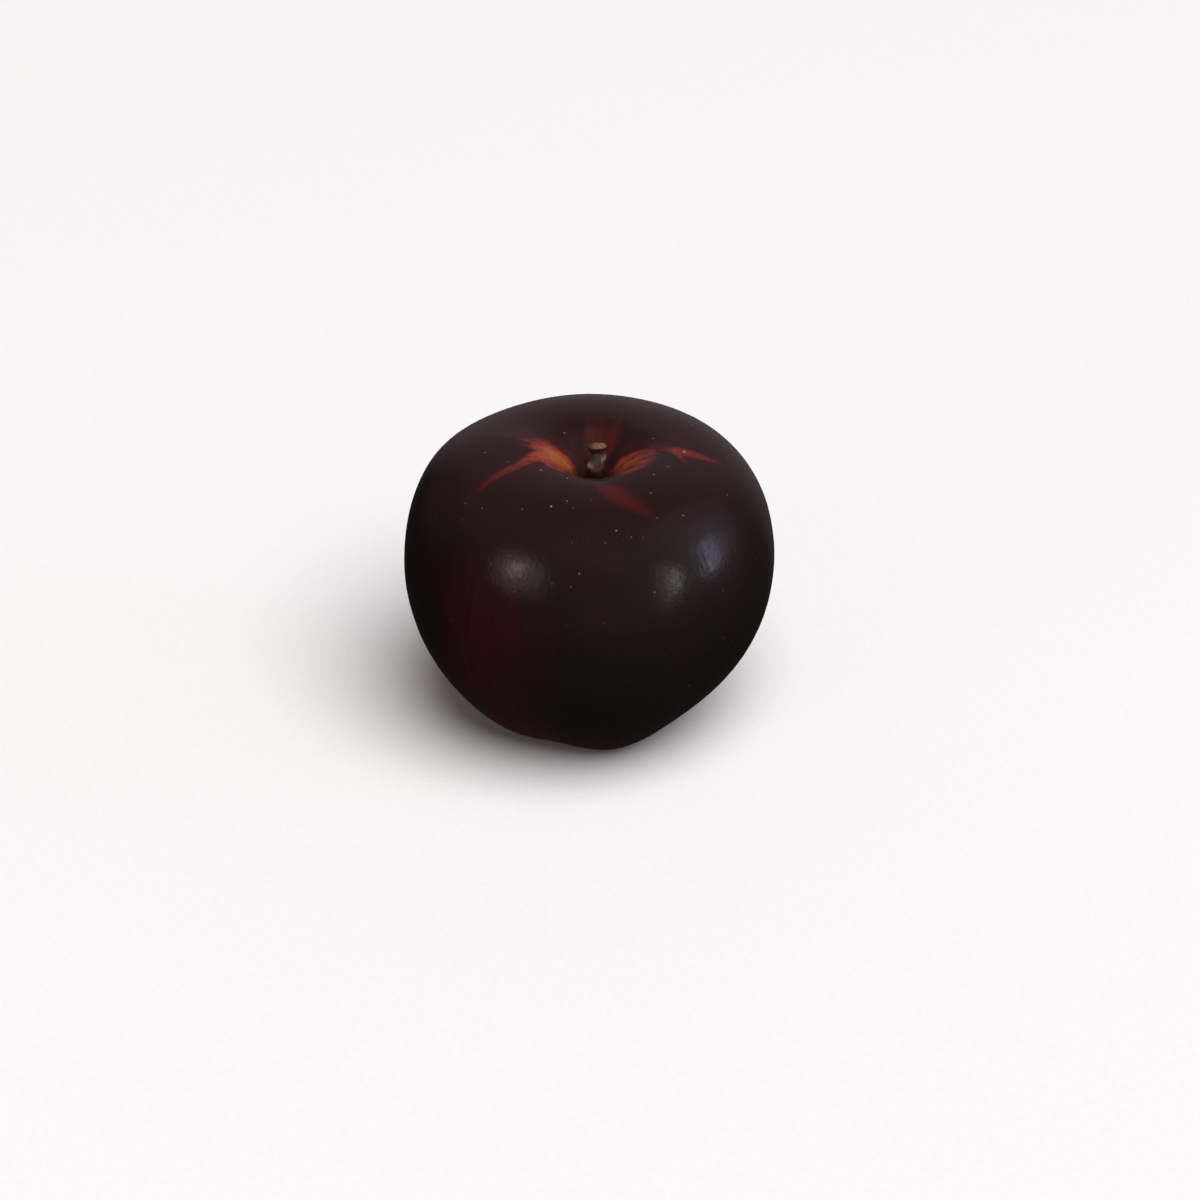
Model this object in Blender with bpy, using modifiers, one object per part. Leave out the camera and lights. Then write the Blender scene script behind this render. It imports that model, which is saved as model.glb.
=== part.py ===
"""Arkansas black apple: one whole dessert apple of a dark heirloom variety.

Metres, +Z up.  The origin is the centre of the apple's foot, on the surface
that it rests on.  The fruit (skin and flesh) is one solid with a funnel-shaped
stem cavity on top and a five-lobed calyx basin underneath.  The woody stem and
the dried remains of the flower (five sepals and a tuft of stamens) are pieces
of their own.
"""

import math

import bmesh
import bpy
import numpy as np
from mathutils import Vector

# ---------------------------------------------------------------- dimensions
DIAMETER = 0.0748          # across the widest part
HEIGHT = 0.0626            # from the foot to the shoulder ring round the stem
EQUATOR_Z = 0.0374         # height of the widest part
SHOULDER_R = 0.0132        # radius of the highest ring of the shoulder
CAVITY_DEPTH = 0.0107      # stem cavity, below the shoulder ring
FOOT_R = 0.0140            # radius of the ring of lobes that the apple rests on
BASIN_DEPTH = 0.0074       # calyx basin, above the foot
FLAT_SINK = 0.00035        # how far the lobes are pressed flat

CAVITY_LIP = (0.65, 0.18)  # shares of the shoulder's radius and of the depth, where the wall steepens
CAVITY_WALL = (0.28, 0.59) # the same low on the wall
CAVITY_X = 0.0011          # the cavity sits a little off the fruit's axis
CAVITY_Y = -0.0004
BASIN_X = -0.0006
BASIN_Y = 0.0005

LOBES = 5                  # one for each sepal
LOBE_PHASE = math.radians(-73.8)
LOBE_BELLY = 0.006         # radial swell of a lobe at the widest part
LOBE_FOOT = 0.024          # the same at the foot
LOBE_GROOVE = 0.0009       # height of the grooves between the lobes at the foot
SHOULDER_WAVE = 0.00030    # height of the soft waves in the shoulder
SHOULDER_TURNS = (3.34, 1.30, 0.55)  # where its two, three and five waves crest
OVAL = 0.0010              # the plan is slightly oval,
OVAL_TURN = 0.40           # with its long way at this azimuth,
CHEEK = 0.0012             # and one cheek is a little fuller,
CHEEK_TURN = -2.20         # at this azimuth

FRUIT_SEGMENTS = 60
FRUIT_RINGS = 40

STEM_TOP_Z = 0.0626        # centre of the cut end
STEM_TOP_X = 0.0018
STEM_TOP_Y = -0.0002
STEM_R = 0.00150
STEM_CAP_R = 0.00200       # flared, cut end
STEM_CAP_T = 0.00100
STEM_BASE_R = 0.00190

SEPAL_LENGTH = 0.0062
SEPAL_WIDTH = 0.00215
SEPAL_THICKNESS = 0.00035
SEPAL_ROOT_R = 0.0021      # the sepals stand on a ring of this radius
TUFT_R = 0.00075
TUFT_LENGTH = 0.0030
GAP = 0.0003               # between pieces that touch

SKIN = (0.030, 0.011, 0.012, 1.0)
BARK = (0.105, 0.072, 0.045, 1.0)
DRY_SEPAL = (0.120, 0.070, 0.035, 1.0)
DRY_STAMEN = (0.060, 0.032, 0.018, 1.0)


# ------------------------------------------------------------------ helpers
def smooth(a, b, x):
    """0 below a, 1 above b, and a smooth step between them."""
    u = np.clip((x - a) / (b - a), 0.0, 1.0)
    return u * u * (3.0 - 2.0 * u)


def spline_through(points, samples):
    """Natural cubic spline through 2D points, evaluated evenly between the
    third and the third last of them.  The two outer points at each end only
    guide its direction."""
    p = np.asarray(points, dtype=float)
    chord = np.sqrt(np.hypot(*(p[1:] - p[:-1]).T))
    t = np.concatenate([[0.0], np.cumsum(chord)])
    n = len(t)
    h = np.diff(t)
    system = np.zeros((n, n))
    right = np.zeros((n, 2))
    system[0, 0] = system[-1, -1] = 1.0
    for i in range(1, n - 1):
        system[i, i - 1] = h[i - 1]
        system[i, i] = 2.0 * (h[i - 1] + h[i])
        system[i, i + 1] = h[i]
        right[i] = 6.0 * ((p[i + 1] - p[i]) / h[i] - (p[i] - p[i - 1]) / h[i - 1])
    curve = np.linalg.solve(system, right)
    at = np.linspace(t[2], t[-3], samples)
    k = np.clip(np.searchsorted(t, at, side="right") - 1, 0, n - 2)
    a = ((t[k + 1] - at) / h[k])[:, None]
    b = ((at - t[k]) / h[k])[:, None]
    hk = h[k][:, None]
    return (a * p[k] + b * p[k + 1]
            + ((a ** 3 - a) * curve[k] + (b ** 3 - b) * curve[k + 1]) * hk ** 2 / 6.0)


def fruit_profile(samples):
    """Half section of the fruit as (radius, height), from the bottom of the
    stem cavity over the shoulder and the belly to the middle of the basin."""
    big = DIAMETER / 2.0
    floor_z = HEIGHT - CAVITY_DEPTH
    half = [
        (0.0, floor_z),
        (CAVITY_WALL[0] * SHOULDER_R, HEIGHT - CAVITY_WALL[1] * CAVITY_DEPTH),
        (CAVITY_LIP[0] * SHOULDER_R, HEIGHT - CAVITY_LIP[1] * CAVITY_DEPTH),
        (SHOULDER_R, HEIGHT),
        (SHOULDER_R + 0.68 * (big - SHOULDER_R), EQUATOR_Z + 0.817 * (HEIGHT - EQUATOR_Z)),
        (big, EQUATOR_Z),
        (FOOT_R + 0.70 * (big - FOOT_R), 0.402 * EQUATOR_Z),
        (FOOT_R, 0.0),
        (0.5 * FOOT_R, 0.497 * BASIN_DEPTH),
        (0.0, BASIN_DEPTH),
    ]
    guided = ([(-half[2][0], half[2][1]), (-half[1][0], half[1][1])] + half
              + [(-half[-2][0], half[-2][1]), (-half[-3][0], half[-3][1])])
    return spline_through(guided, samples)


def fruit_surface(profile, azimuth):
    """Point of the fruit's skin for each (radius, height) pair and azimuth."""
    big = DIAMETER / 2.0
    r, z = profile[:, 0], profile[:, 1]
    # 0 at the cavity floor .. 1 at the basin: tells the cavity from the belly
    top = smooth(0.62 * HEIGHT, 0.97 * HEIGHT, z)
    low = smooth(0.0, 1.0, 1.0 - z / EQUATOR_Z)
    wave = np.cos(LOBES * (azimuth - LOBE_PHASE))
    swell = (LOBE_BELLY + (LOBE_FOOT - LOBE_BELLY) * low) * wave
    # the fruit is not quite round in plan, and one cheek is a little fuller
    swell = swell + OVAL * np.cos(2.0 * (azimuth - OVAL_TURN)) + CHEEK * np.cos(azimuth - CHEEK_TURN)
    near_axis = smooth(0.0, 0.35 * big, r)
    radius = r * (1.0 + swell * near_axis)
    groove = LOBE_GROOVE * 0.5 * (1.0 - wave) * low ** 3 * smooth(0.0, FOOT_R, r)
    waves = SHOULDER_WAVE * top * near_axis * (
        np.cos(2.0 * (azimuth - SHOULDER_TURNS[0])) + 0.8 * np.cos(3.0 * (azimuth - SHOULDER_TURNS[1]))
        + 0.6 * np.cos(5.0 * (azimuth - SHOULDER_TURNS[2])))
    height = z + groove + waves
    # the cavity and the basin drift off the fruit's own axis
    inner_top = (1.0 - smooth(0.2 * big, 0.85 * big, r)) * smooth(0.45 * HEIGHT, 0.7 * HEIGHT, z)
    inner_low = (1.0 - smooth(0.2 * big, 0.75 * big, r)) * (1.0 - smooth(0.2 * HEIGHT, 0.4 * HEIGHT, z))
    x = radius * np.cos(azimuth) + CAVITY_X * inner_top + BASIN_X * inner_low
    y = radius * np.sin(azimuth) + CAVITY_Y * inner_top + BASIN_Y * inner_low
    return np.stack([x, y, np.maximum(height - FLAT_SINK, 0.0)], axis=-1)


def plan_centre():
    """Middle of the fruit's extent in X and Y, which the origin stands under."""
    belly = fruit_profile(200)
    turn = np.linspace(-math.pi, math.pi, 361)
    points = np.concatenate([fruit_surface(belly, np.full(len(belly), a)) for a in turn])
    return 0.5 * (points.min(axis=0) + points.max(axis=0))[:2]


def ring_positions(rings):
    """Evenly useful places for the rings along the section: closer together
    where it bends more, in the cavity, at the foot and in the basin."""
    fine = fruit_profile(2001)
    step = np.diff(fine, axis=0)
    length = np.hypot(step[:, 0], step[:, 1])
    heading = np.unwrap(np.arctan2(step[:, 1], step[:, 0]))
    bend = np.abs(np.gradient(heading)) / length
    weight = length * (1.0 + 0.012 * np.minimum(bend, 250.0))
    # the foot's flat spots get rings of their own
    mid = 0.5 * (fine[1:] + fine[:-1])
    weight = weight * (1.0 + 1.6 * np.exp(-(((mid[:, 0] - FOOT_R) / 0.003) ** 2)) * (mid[:, 1] < 0.004))
    total = np.concatenate([[0.0], np.cumsum(weight)])
    share = np.interp(np.linspace(0.0, total[-1], rings + 1), total, np.arange(len(total)))
    index = np.arange(len(fine))
    return np.stack([np.interp(share, index, fine[:, 0]), np.interp(share, index, fine[:, 1])], axis=-1)


def material(name, color, roughness, metallic=0.0):
    made = bpy.data.materials.new(name)
    made.use_nodes = True
    shader = made.node_tree.nodes["Principled BSDF"]
    shader.inputs["Base Color"].default_value = color
    shader.inputs["Roughness"].default_value = roughness
    shader.inputs["Metallic"].default_value = metallic
    made.diffuse_color = color
    return made


def add_object(name, bm, mat, collection, parent, location=(0.0, 0.0, 0.0), turn=0.0):
    mesh = bpy.data.meshes.new(name)
    bm.to_mesh(mesh)
    bm.free()
    mesh.shade_smooth()
    mesh.set_sharp_from_angle(angle=math.radians(50.0))
    mesh.materials.append(mat)
    made = bpy.data.objects.new(name, mesh)
    collection.objects.link(made)
    made.parent = parent
    made.location = location
    made.rotation_euler = (0.0, 0.0, turn)
    return made


# ------------------------------------------------------------------- pieces
def make_fruit(mat, collection, parent):
    """A sphere whose rings are moved onto the fruit's section and whose
    meridians follow the lobes, so that the skin is one closed surface."""
    bm = bmesh.new()
    bmesh.ops.create_uvsphere(bm, u_segments=FRUIT_SEGMENTS, v_segments=FRUIT_RINGS, radius=1.0)
    rings = ring_positions(FRUIT_RINGS)
    verts = list(bm.verts)
    polar = np.array([math.acos(max(-1.0, min(1.0, v.co.z))) for v in verts])
    azimuth = np.array([math.atan2(v.co.y, v.co.x) for v in verts])
    which = np.rint(polar / math.pi * FRUIT_RINGS).astype(int)
    points = fruit_surface(rings[which], azimuth)
    for vert, point in zip(verts, points):
        vert.co = Vector(point.tolist())
    return add_object("fruit", bm, mat, collection, parent)


def make_stem(mat, collection, parent):
    """A stubby stalk: wider where it leaves the fruit, waisted under the
    flared cut end, and leaning a little.  Its rings sit across a bent line."""
    rings, segments = 14, 16
    bm = bmesh.new()
    bmesh.ops.create_uvsphere(bm, u_segments=segments, v_segments=rings, radius=1.0)
    foot = Vector((CAVITY_X, CAVITY_Y, HEIGHT - CAVITY_DEPTH - FLAT_SINK + GAP))
    top = Vector((STEM_TOP_X, STEM_TOP_Y, STEM_TOP_Z))
    length = (top - foot).length
    for vert in bm.verts:
        polar = math.acos(max(-1.0, min(1.0, vert.co.z)))
        azimuth = math.atan2(vert.co.y, vert.co.x)
        k = round(polar / math.pi * rings)
        # ring 0 and 1: the cut face; 2 and 3: the flared rim; then the stalk
        cap = STEM_CAP_T / length
        along, radius = {
            0: (1.0, 0.0),
            1: (1.0, 0.55 * STEM_CAP_R),
            2: (1.0 - 0.22 * cap, 0.97 * STEM_CAP_R),
            3: (1.0 - 0.75 * cap, STEM_CAP_R),
        }.get(k, (0.0, 0.0))
        if k > 3:
            u = (k - 3) / (rings - 3)
            along = (1.0 - 1.1 * cap) * (1.0 - u) ** 0.95
            waist = STEM_R - 0.00022 * math.exp(-(((along - 0.84) / 0.10) ** 2))
            radius = waist + (STEM_BASE_R - STEM_R) * (1.0 - along) ** 3
            # a rounded foot that follows the funnel it stands in
            if k == rings:
                radius = 0.0
            elif k == rings - 1:
                along, radius = 0.00045 / length, 0.48 * STEM_BASE_R
            elif k == rings - 2:
                along, radius = 0.00120 / length, 0.80 * STEM_BASE_R
        knobs = 1.0 + 0.05 * math.cos(2.0 * azimuth + 6.0 * along) + 0.03 * math.cos(3.0 * azimuth - 4.0)
        centre = foot.lerp(top, along)
        centre.x -= 0.00030 * math.sin(math.pi * along) ** 2
        vert.co = centre + Vector((radius * knobs * math.cos(azimuth),
                                   radius * knobs * math.sin(azimuth), 0.0))
    return add_object("stem", bm, mat, collection, parent)


def make_sepal(number, mat, collection, parent, centre):
    """A dry, pointed leaf that hangs in the basin, leans in over the stamens
    and curls out at its tip.  Its own frame has the root at radius
    SEPAL_ROOT_R on +X and -Z along its length."""
    across, along = 4, 8
    bm = bmesh.new()
    bmesh.ops.create_grid(bm, x_segments=across, y_segments=along, size=1.0)
    curl = 0.85 + 0.30 * math.sin(2.3 * number)
    lean = 1.0 + 0.12 * math.cos(1.7 * number)
    reach = SEPAL_LENGTH * (0.93 + 0.07 * math.sin(3.1 * number))
    for vert in bm.verts:
        u = (vert.co.y + 1.0) / 2.0      # 0 at the root .. 1 at the tip
        v = vert.co.x                    # -1 .. 1 across
        half = 0.5 * SEPAL_WIDTH * (1.0 - u ** 1.5 * 0.88)
        radius = SEPAL_ROOT_R - 0.00075 * lean * math.sin(math.pi * min(u * 1.25, 1.0)) \
            + 0.0017 * curl * u ** 3
        drop = reach * (0.72 * u + 0.06 * math.sin(math.pi * u))
        cup = 0.00022 * v * v * (1.0 - u)
        vert.co = Vector((radius - cup, half * v, -drop))
    turn = LOBE_PHASE + (number - 0.5) * 2.0 * math.pi / LOBES
    made = add_object(f"sepal_{number}", bm, mat, collection, parent, centre, turn)
    shell = made.modifiers.new("thickness", "SOLIDIFY")
    shell.thickness = SEPAL_THICKNESS
    shell.offset = 0.0
    return made


def make_tuft(mat, collection, parent, centre):
    """The dried stamens and styles, stuck together: a fluted bundle with
    ragged ends, hanging from the bottom of the basin."""
    segments, rings = 14, 6
    bm = bmesh.new()
    bmesh.ops.create_uvsphere(bm, u_segments=segments, v_segments=rings, radius=1.0)
    for vert in bm.verts:
        polar = math.acos(max(-1.0, min(1.0, vert.co.z)))
        azimuth = math.atan2(vert.co.y, vert.co.x)
        k = round(polar / math.pi * rings)
        strand = round(azimuth / (2.0 * math.pi) * segments)
        ridge = 1.0 if strand % 2 == 0 else 0.66
        drop = TUFT_LENGTH * (0.0, 0.0, 0.35, 0.70, 1.0, 0.86, 0.66)[k]
        spread = (0.0, 0.55, 0.62, 0.80, 1.0, 0.45, 0.0)[k]
        if k == 4:
            drop *= 1.0 - 0.16 * (1 - strand % 2) * (0.5 + 0.5 * math.sin(2.4 * strand))
        vert.co = Vector((TUFT_R * spread * ridge * math.cos(azimuth),
                          TUFT_R * spread * ridge * math.sin(azimuth), -drop))
    return add_object("stamen_tuft", bm, mat, collection, parent, centre)


# ------------------------------------------------------------------- build
for old in list(bpy.data.objects):
    bpy.data.objects.remove(old, do_unlink=True)

apple = bpy.data.collections.new("arkansas_black_apple")
bpy.context.scene.collection.children.link(apple)
origin = bpy.data.objects.new("apple_origin", None)
origin.empty_display_size = 0.02
off_x, off_y = plan_centre()
origin.location = (-off_x, -off_y, 0.0)
apple.objects.link(origin)

skin = material("apple_skin", SKIN, 0.36)
bark = material("stem_bark", BARK, 0.80)
dry_sepal = material("dry_sepal", DRY_SEPAL, 0.85)
dry_stamen = material("dry_stamen", DRY_STAMEN, 0.88)

make_fruit(skin, apple, origin)
make_stem(bark, apple, origin)

basin_floor = BASIN_DEPTH - FLAT_SINK
sepal_centre = (BASIN_X, BASIN_Y, basin_floor - 0.0006 - GAP)
for number in range(1, LOBES + 1):
    make_sepal(number, dry_sepal, apple, origin, sepal_centre)
make_tuft(dry_stamen, apple, origin, (BASIN_X, BASIN_Y, basin_floor - GAP))
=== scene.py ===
"""Looks of one whole Arkansas Black apple: the waxy near-black skin with red
and orange rays round the stem, the woody stem, and the dried flower in the
basin underneath.  It stands on a pale floor in soft light."""

import math

import bpy
import numpy as np
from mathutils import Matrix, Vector


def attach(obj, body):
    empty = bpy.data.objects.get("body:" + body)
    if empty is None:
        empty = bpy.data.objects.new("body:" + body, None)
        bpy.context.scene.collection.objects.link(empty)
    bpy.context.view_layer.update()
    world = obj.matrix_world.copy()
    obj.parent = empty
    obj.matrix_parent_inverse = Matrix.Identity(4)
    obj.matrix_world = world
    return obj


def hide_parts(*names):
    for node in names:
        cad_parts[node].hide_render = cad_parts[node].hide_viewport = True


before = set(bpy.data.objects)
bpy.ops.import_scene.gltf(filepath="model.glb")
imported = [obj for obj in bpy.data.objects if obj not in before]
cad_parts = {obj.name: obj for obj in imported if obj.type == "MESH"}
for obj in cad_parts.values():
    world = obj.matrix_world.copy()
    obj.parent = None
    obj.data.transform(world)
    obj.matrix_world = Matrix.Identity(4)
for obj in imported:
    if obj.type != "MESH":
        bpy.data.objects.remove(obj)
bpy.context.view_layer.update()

# ------------------------------------------------- the fruit's own dimensions
DIAMETER = 0.0748
HEIGHT = 0.0626
EQUATOR_Z = 0.0374
SHOULDER_R = 0.0132
CAVITY_DEPTH = 0.0107
FOOT_R = 0.0140
BASIN_DEPTH = 0.0074
FLAT_SINK = 0.00035
CAVITY_LIP = (0.65, 0.18)
CAVITY_WALL = (0.28, 0.59)
CAVITY_X, CAVITY_Y = 0.0011, -0.0004
BASIN_X, BASIN_Y = -0.0006, 0.0005
LOBES = 5
LOBE_PHASE = math.radians(-73.8)
LOBE_BELLY = 0.006
LOBE_FOOT = 0.024
LOBE_GROOVE = 0.0009
SHOULDER_WAVE = 0.00030
SHOULDER_TURNS = (3.34, 1.30, 0.55)
OVAL, OVAL_TURN = 0.0010, 0.40
CHEEK, CHEEK_TURN = 0.0012, -2.20
STEM_TOP = (0.0018, -0.0002, 0.0626)

SKIN_SEGMENTS = 330        # round the fruit
SKIN_RINGS = 286           # from the stem to the calyx

# ------------------------------------------------------------- camera numbers
CAMERA_ELEVATION = 32.0    # degrees above the fruit's own horizon
CAMERA_DISTANCE = 0.700
CAMERA_AIM = (0.002403, -0.007990, 0.035625)   # right, up in the picture, and height of the aim
CAMERA_LENS = 103.5        # on a 36 mm sensor


# ===================================================================== maths
def smooth(a, b, x):
    u = np.clip((x - a) / (b - a), 0.0, 1.0)
    return u * u * (3.0 - 2.0 * u)


def spline_through(points, samples):
    p = np.asarray(points, dtype=float)
    chord = np.sqrt(np.hypot(*(p[1:] - p[:-1]).T))
    t = np.concatenate([[0.0], np.cumsum(chord)])
    n = len(t)
    h = np.diff(t)
    system = np.zeros((n, n))
    right = np.zeros((n, 2))
    system[0, 0] = system[-1, -1] = 1.0
    for i in range(1, n - 1):
        system[i, i - 1] = h[i - 1]
        system[i, i] = 2.0 * (h[i - 1] + h[i])
        system[i, i + 1] = h[i]
        right[i] = 6.0 * ((p[i + 1] - p[i]) / h[i] - (p[i] - p[i - 1]) / h[i - 1])
    curve = np.linalg.solve(system, right)
    at = np.linspace(t[2], t[-3], samples)
    k = np.clip(np.searchsorted(t, at, side="right") - 1, 0, n - 2)
    a = ((t[k + 1] - at) / h[k])[:, None]
    b = ((at - t[k]) / h[k])[:, None]
    hk = h[k][:, None]
    return (a * p[k] + b * p[k + 1]
            + ((a ** 3 - a) * curve[k] + (b ** 3 - b) * curve[k + 1]) * hk ** 2 / 6.0)


def fruit_profile(samples):
    big = DIAMETER / 2.0
    half = [
        (0.0, HEIGHT - CAVITY_DEPTH),
        (CAVITY_WALL[0] * SHOULDER_R, HEIGHT - CAVITY_WALL[1] * CAVITY_DEPTH),
        (CAVITY_LIP[0] * SHOULDER_R, HEIGHT - CAVITY_LIP[1] * CAVITY_DEPTH),
        (SHOULDER_R, HEIGHT),
        (SHOULDER_R + 0.68 * (big - SHOULDER_R), EQUATOR_Z + 0.817 * (HEIGHT - EQUATOR_Z)),
        (big, EQUATOR_Z),
        (FOOT_R + 0.70 * (big - FOOT_R), 0.402 * EQUATOR_Z),
        (FOOT_R, 0.0),
        (0.5 * FOOT_R, 0.497 * BASIN_DEPTH),
        (0.0, BASIN_DEPTH),
    ]
    guided = ([(-half[2][0], half[2][1]), (-half[1][0], half[1][1])] + half
              + [(-half[-2][0], half[-2][1]), (-half[-3][0], half[-3][1])])
    return spline_through(guided, samples)


def fruit_surface(r, z, azimuth):
    """The skin for radius r, height z of the section and azimuth, in metres."""
    big = DIAMETER / 2.0
    top = smooth(0.62 * HEIGHT, 0.97 * HEIGHT, z)
    low = smooth(0.0, 1.0, 1.0 - z / EQUATOR_Z)
    wave = np.cos(LOBES * (azimuth - LOBE_PHASE))
    swell = (LOBE_BELLY + (LOBE_FOOT - LOBE_BELLY) * low) * wave
    swell = swell + OVAL * np.cos(2.0 * (azimuth - OVAL_TURN)) + CHEEK * np.cos(azimuth - CHEEK_TURN)
    near_axis = smooth(0.0, 0.35 * big, r)
    radius = r * (1.0 + swell * near_axis)
    groove = LOBE_GROOVE * 0.5 * (1.0 - wave) * low ** 3 * smooth(0.0, FOOT_R, r)
    waves = SHOULDER_WAVE * top * near_axis * (
        np.cos(2.0 * (azimuth - SHOULDER_TURNS[0])) + 0.8 * np.cos(3.0 * (azimuth - SHOULDER_TURNS[1]))
        + 0.6 * np.cos(5.0 * (azimuth - SHOULDER_TURNS[2])))
    height = z + groove + waves
    inner_top = (1.0 - smooth(0.2 * big, 0.85 * big, r)) * smooth(0.45 * HEIGHT, 0.7 * HEIGHT, z)
    inner_low = (1.0 - smooth(0.2 * big, 0.75 * big, r)) * (1.0 - smooth(0.2 * HEIGHT, 0.4 * HEIGHT, z))
    x = radius * np.cos(azimuth) + CAVITY_X * inner_top + BASIN_X * inner_low
    y = radius * np.sin(azimuth) + CAVITY_Y * inner_top + BASIN_Y * inner_low
    return np.stack([x, y, height - FLAT_SINK], axis=-1)


def plan_centre():
    belly = fruit_profile(200)
    turn = np.linspace(-math.pi, math.pi, 361)
    r, z = belly[:, :1], belly[:, 1:]
    points = fruit_surface(r + 0 * turn, z + 0 * turn, turn + 0 * r).reshape(-1, 3)
    return 0.5 * (points.min(axis=0) + points.max(axis=0))[:2]


SHIFT = np.array([*(-plan_centre()), 0.0])     # brings the fruit's middle over the origin


def waves_on(directions, seed, low, high, count):
    """Smooth unevenness: a sum of plane waves over unit vectors, about -1 to 1."""
    rng = np.random.RandomState(seed)
    total = np.zeros(directions.shape[:-1])
    for _ in range(count):
        k = rng.normal(size=3)
        k *= rng.uniform(low, high) / np.linalg.norm(k)
        total += rng.uniform(0.6, 1.0) * np.sin(directions @ k + rng.uniform(0, 2 * math.pi))
    return total / math.sqrt(count)


# ============================================================ material helper
class Tree:
    """Builds a node material: every method returns an output socket."""

    def __init__(self, name, **shader):
        self.material = bpy.data.materials.new(name)
        self.material.use_nodes = True
        self.tree = self.material.node_tree
        self.shader = self.tree.nodes["Principled BSDF"]
        for key, value in shader.items():
            self.shader.inputs[key.replace("_", " ")].default_value = value

    def make(self, kind, **settings):
        node = self.tree.nodes.new(kind)
        for key, value in settings.items():
            setattr(node, key, value)
        return node

    def put(self, socket, value):
        if isinstance(value, bpy.types.NodeSocket):
            self.tree.links.new(value, socket)
        elif isinstance(value, (tuple, list)) and len(value) == 3 and socket.type == "RGBA":
            socket.default_value = (*value, 1.0)
        else:
            socket.default_value = value

    def attribute(self, name, output="Fac"):
        return self.make("ShaderNodeAttribute", attribute_name=name).outputs[output]

    def object_place(self):
        return self.make("ShaderNodeTexCoord").outputs["Object"]

    def math(self, operation, a, b=0.0, c=0.0, clamp=False):
        node = self.make("ShaderNodeMath", operation=operation, use_clamp=clamp)
        for socket, value in zip(node.inputs, (a, b, c)):
            self.put(socket, value)
        return node.outputs[0]

    def vector(self, operation, a, b=(0.0, 0.0, 0.0)):
        node = self.make("ShaderNodeVectorMath", operation=operation)
        self.put(node.inputs[0], a)
        if operation == "SCALE":
            self.put(node.inputs["Scale"], b)
        else:
            self.put(node.inputs[1], b)
        return node.outputs["Value" if operation in ("DISTANCE", "LENGTH", "DOT_PRODUCT") else "Vector"]

    def step(self, x, a, b, low=0.0, high=1.0):
        node = self.make("ShaderNodeMapRange", interpolation_type="SMOOTHSTEP")
        for key, value in (("Value", x), ("From Min", a), ("From Max", b), ("To Min", low), ("To Max", high)):
            self.put(node.inputs[key], value)
        return node.outputs["Result"]

    def line(self, x, a, b, low=0.0, high=1.0):
        node = self.make("ShaderNodeMapRange", interpolation_type="LINEAR")
        for key, value in (("Value", x), ("From Min", a), ("From Max", b), ("To Min", low), ("To Max", high)):
            self.put(node.inputs[key], value)
        return node.outputs["Result"]

    def noise(self, where, scale, detail=2.0, rough=0.5, twist=0.0, output="Fac"):
        node = self.make("ShaderNodeTexNoise", noise_dimensions="3D")
        self.put(node.inputs["Vector"], where)
        for key, value in (("Scale", scale), ("Detail", detail), ("Roughness", rough), ("Distortion", twist)):
            node.inputs[key].default_value = value
        return node.outputs[output]

    def cells(self, where, scale, feature="F1"):
        node = self.make("ShaderNodeTexVoronoi", feature=feature)
        self.put(node.inputs["Vector"], where)
        node.inputs["Scale"].default_value = scale
        return node.outputs["Distance"], node.outputs.get("Color")

    def mix(self, share, a, b, blend="MIX"):
        node = self.make("ShaderNodeMix", data_type="RGBA", blend_type=blend, clamp_factor=True)
        self.put(node.inputs[0], share)
        self.put(node.inputs[6], a)
        self.put(node.inputs[7], b)
        return node.outputs[2]

    def ramp(self, x, stops):
        node = self.make("ShaderNodeValToRGB")
        ramp = node.color_ramp
        for element, (at, colour) in zip(ramp.elements, (stops[0], stops[-1])):
            element.position = at
            element.color = (*colour, 1.0)
        for at, colour in stops[1:-1]:
            ramp.elements.new(at).color = (*colour, 1.0)
        self.put(node.inputs[0], x)
        return node.outputs["Color"]

    def split(self, colour, channel=0):
        node = self.make("ShaderNodeSeparateColor")
        self.put(node.inputs[0], colour)
        return node.outputs[channel]

    def bump(self, height, distance, strength=1.0, normal=None):
        node = self.make("ShaderNodeBump")
        node.inputs["Strength"].default_value = strength
        node.inputs["Distance"].default_value = distance
        self.put(node.inputs["Height"], height)
        if normal is not None:
            self.put(node.inputs["Normal"], normal)
        return node.outputs[0]

    def finish(self, **sockets):
        for key, value in sockets.items():
            self.put(self.shader.inputs[key.replace("_", " ")], value)
        return self.material


def new_piece(name, vertices, faces, material, fields=None, vectors=None, sharp=None):
    mesh = bpy.data.meshes.new(name)
    mesh.from_pydata(np.asarray(vertices).tolist(), [], faces)
    mesh.validate()
    mesh.shade_smooth()
    for key, values in (fields or {}).items():
        made = mesh.attributes.new(key, "FLOAT", "POINT")
        made.data.foreach_set("value", np.asarray(values, dtype=np.float32).ravel())
    for key, values in (vectors or {}).items():
        made = mesh.attributes.new(key, "FLOAT_VECTOR", "POINT")
        made.data.foreach_set("vector", np.asarray(values, dtype=np.float32).ravel())
    if sharp:
        mesh.set_sharp_from_angle(angle=math.radians(sharp))
    mesh.materials.append(material)
    made = bpy.data.objects.new(name, mesh)
    bpy.context.scene.collection.objects.link(made)
    return made


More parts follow.
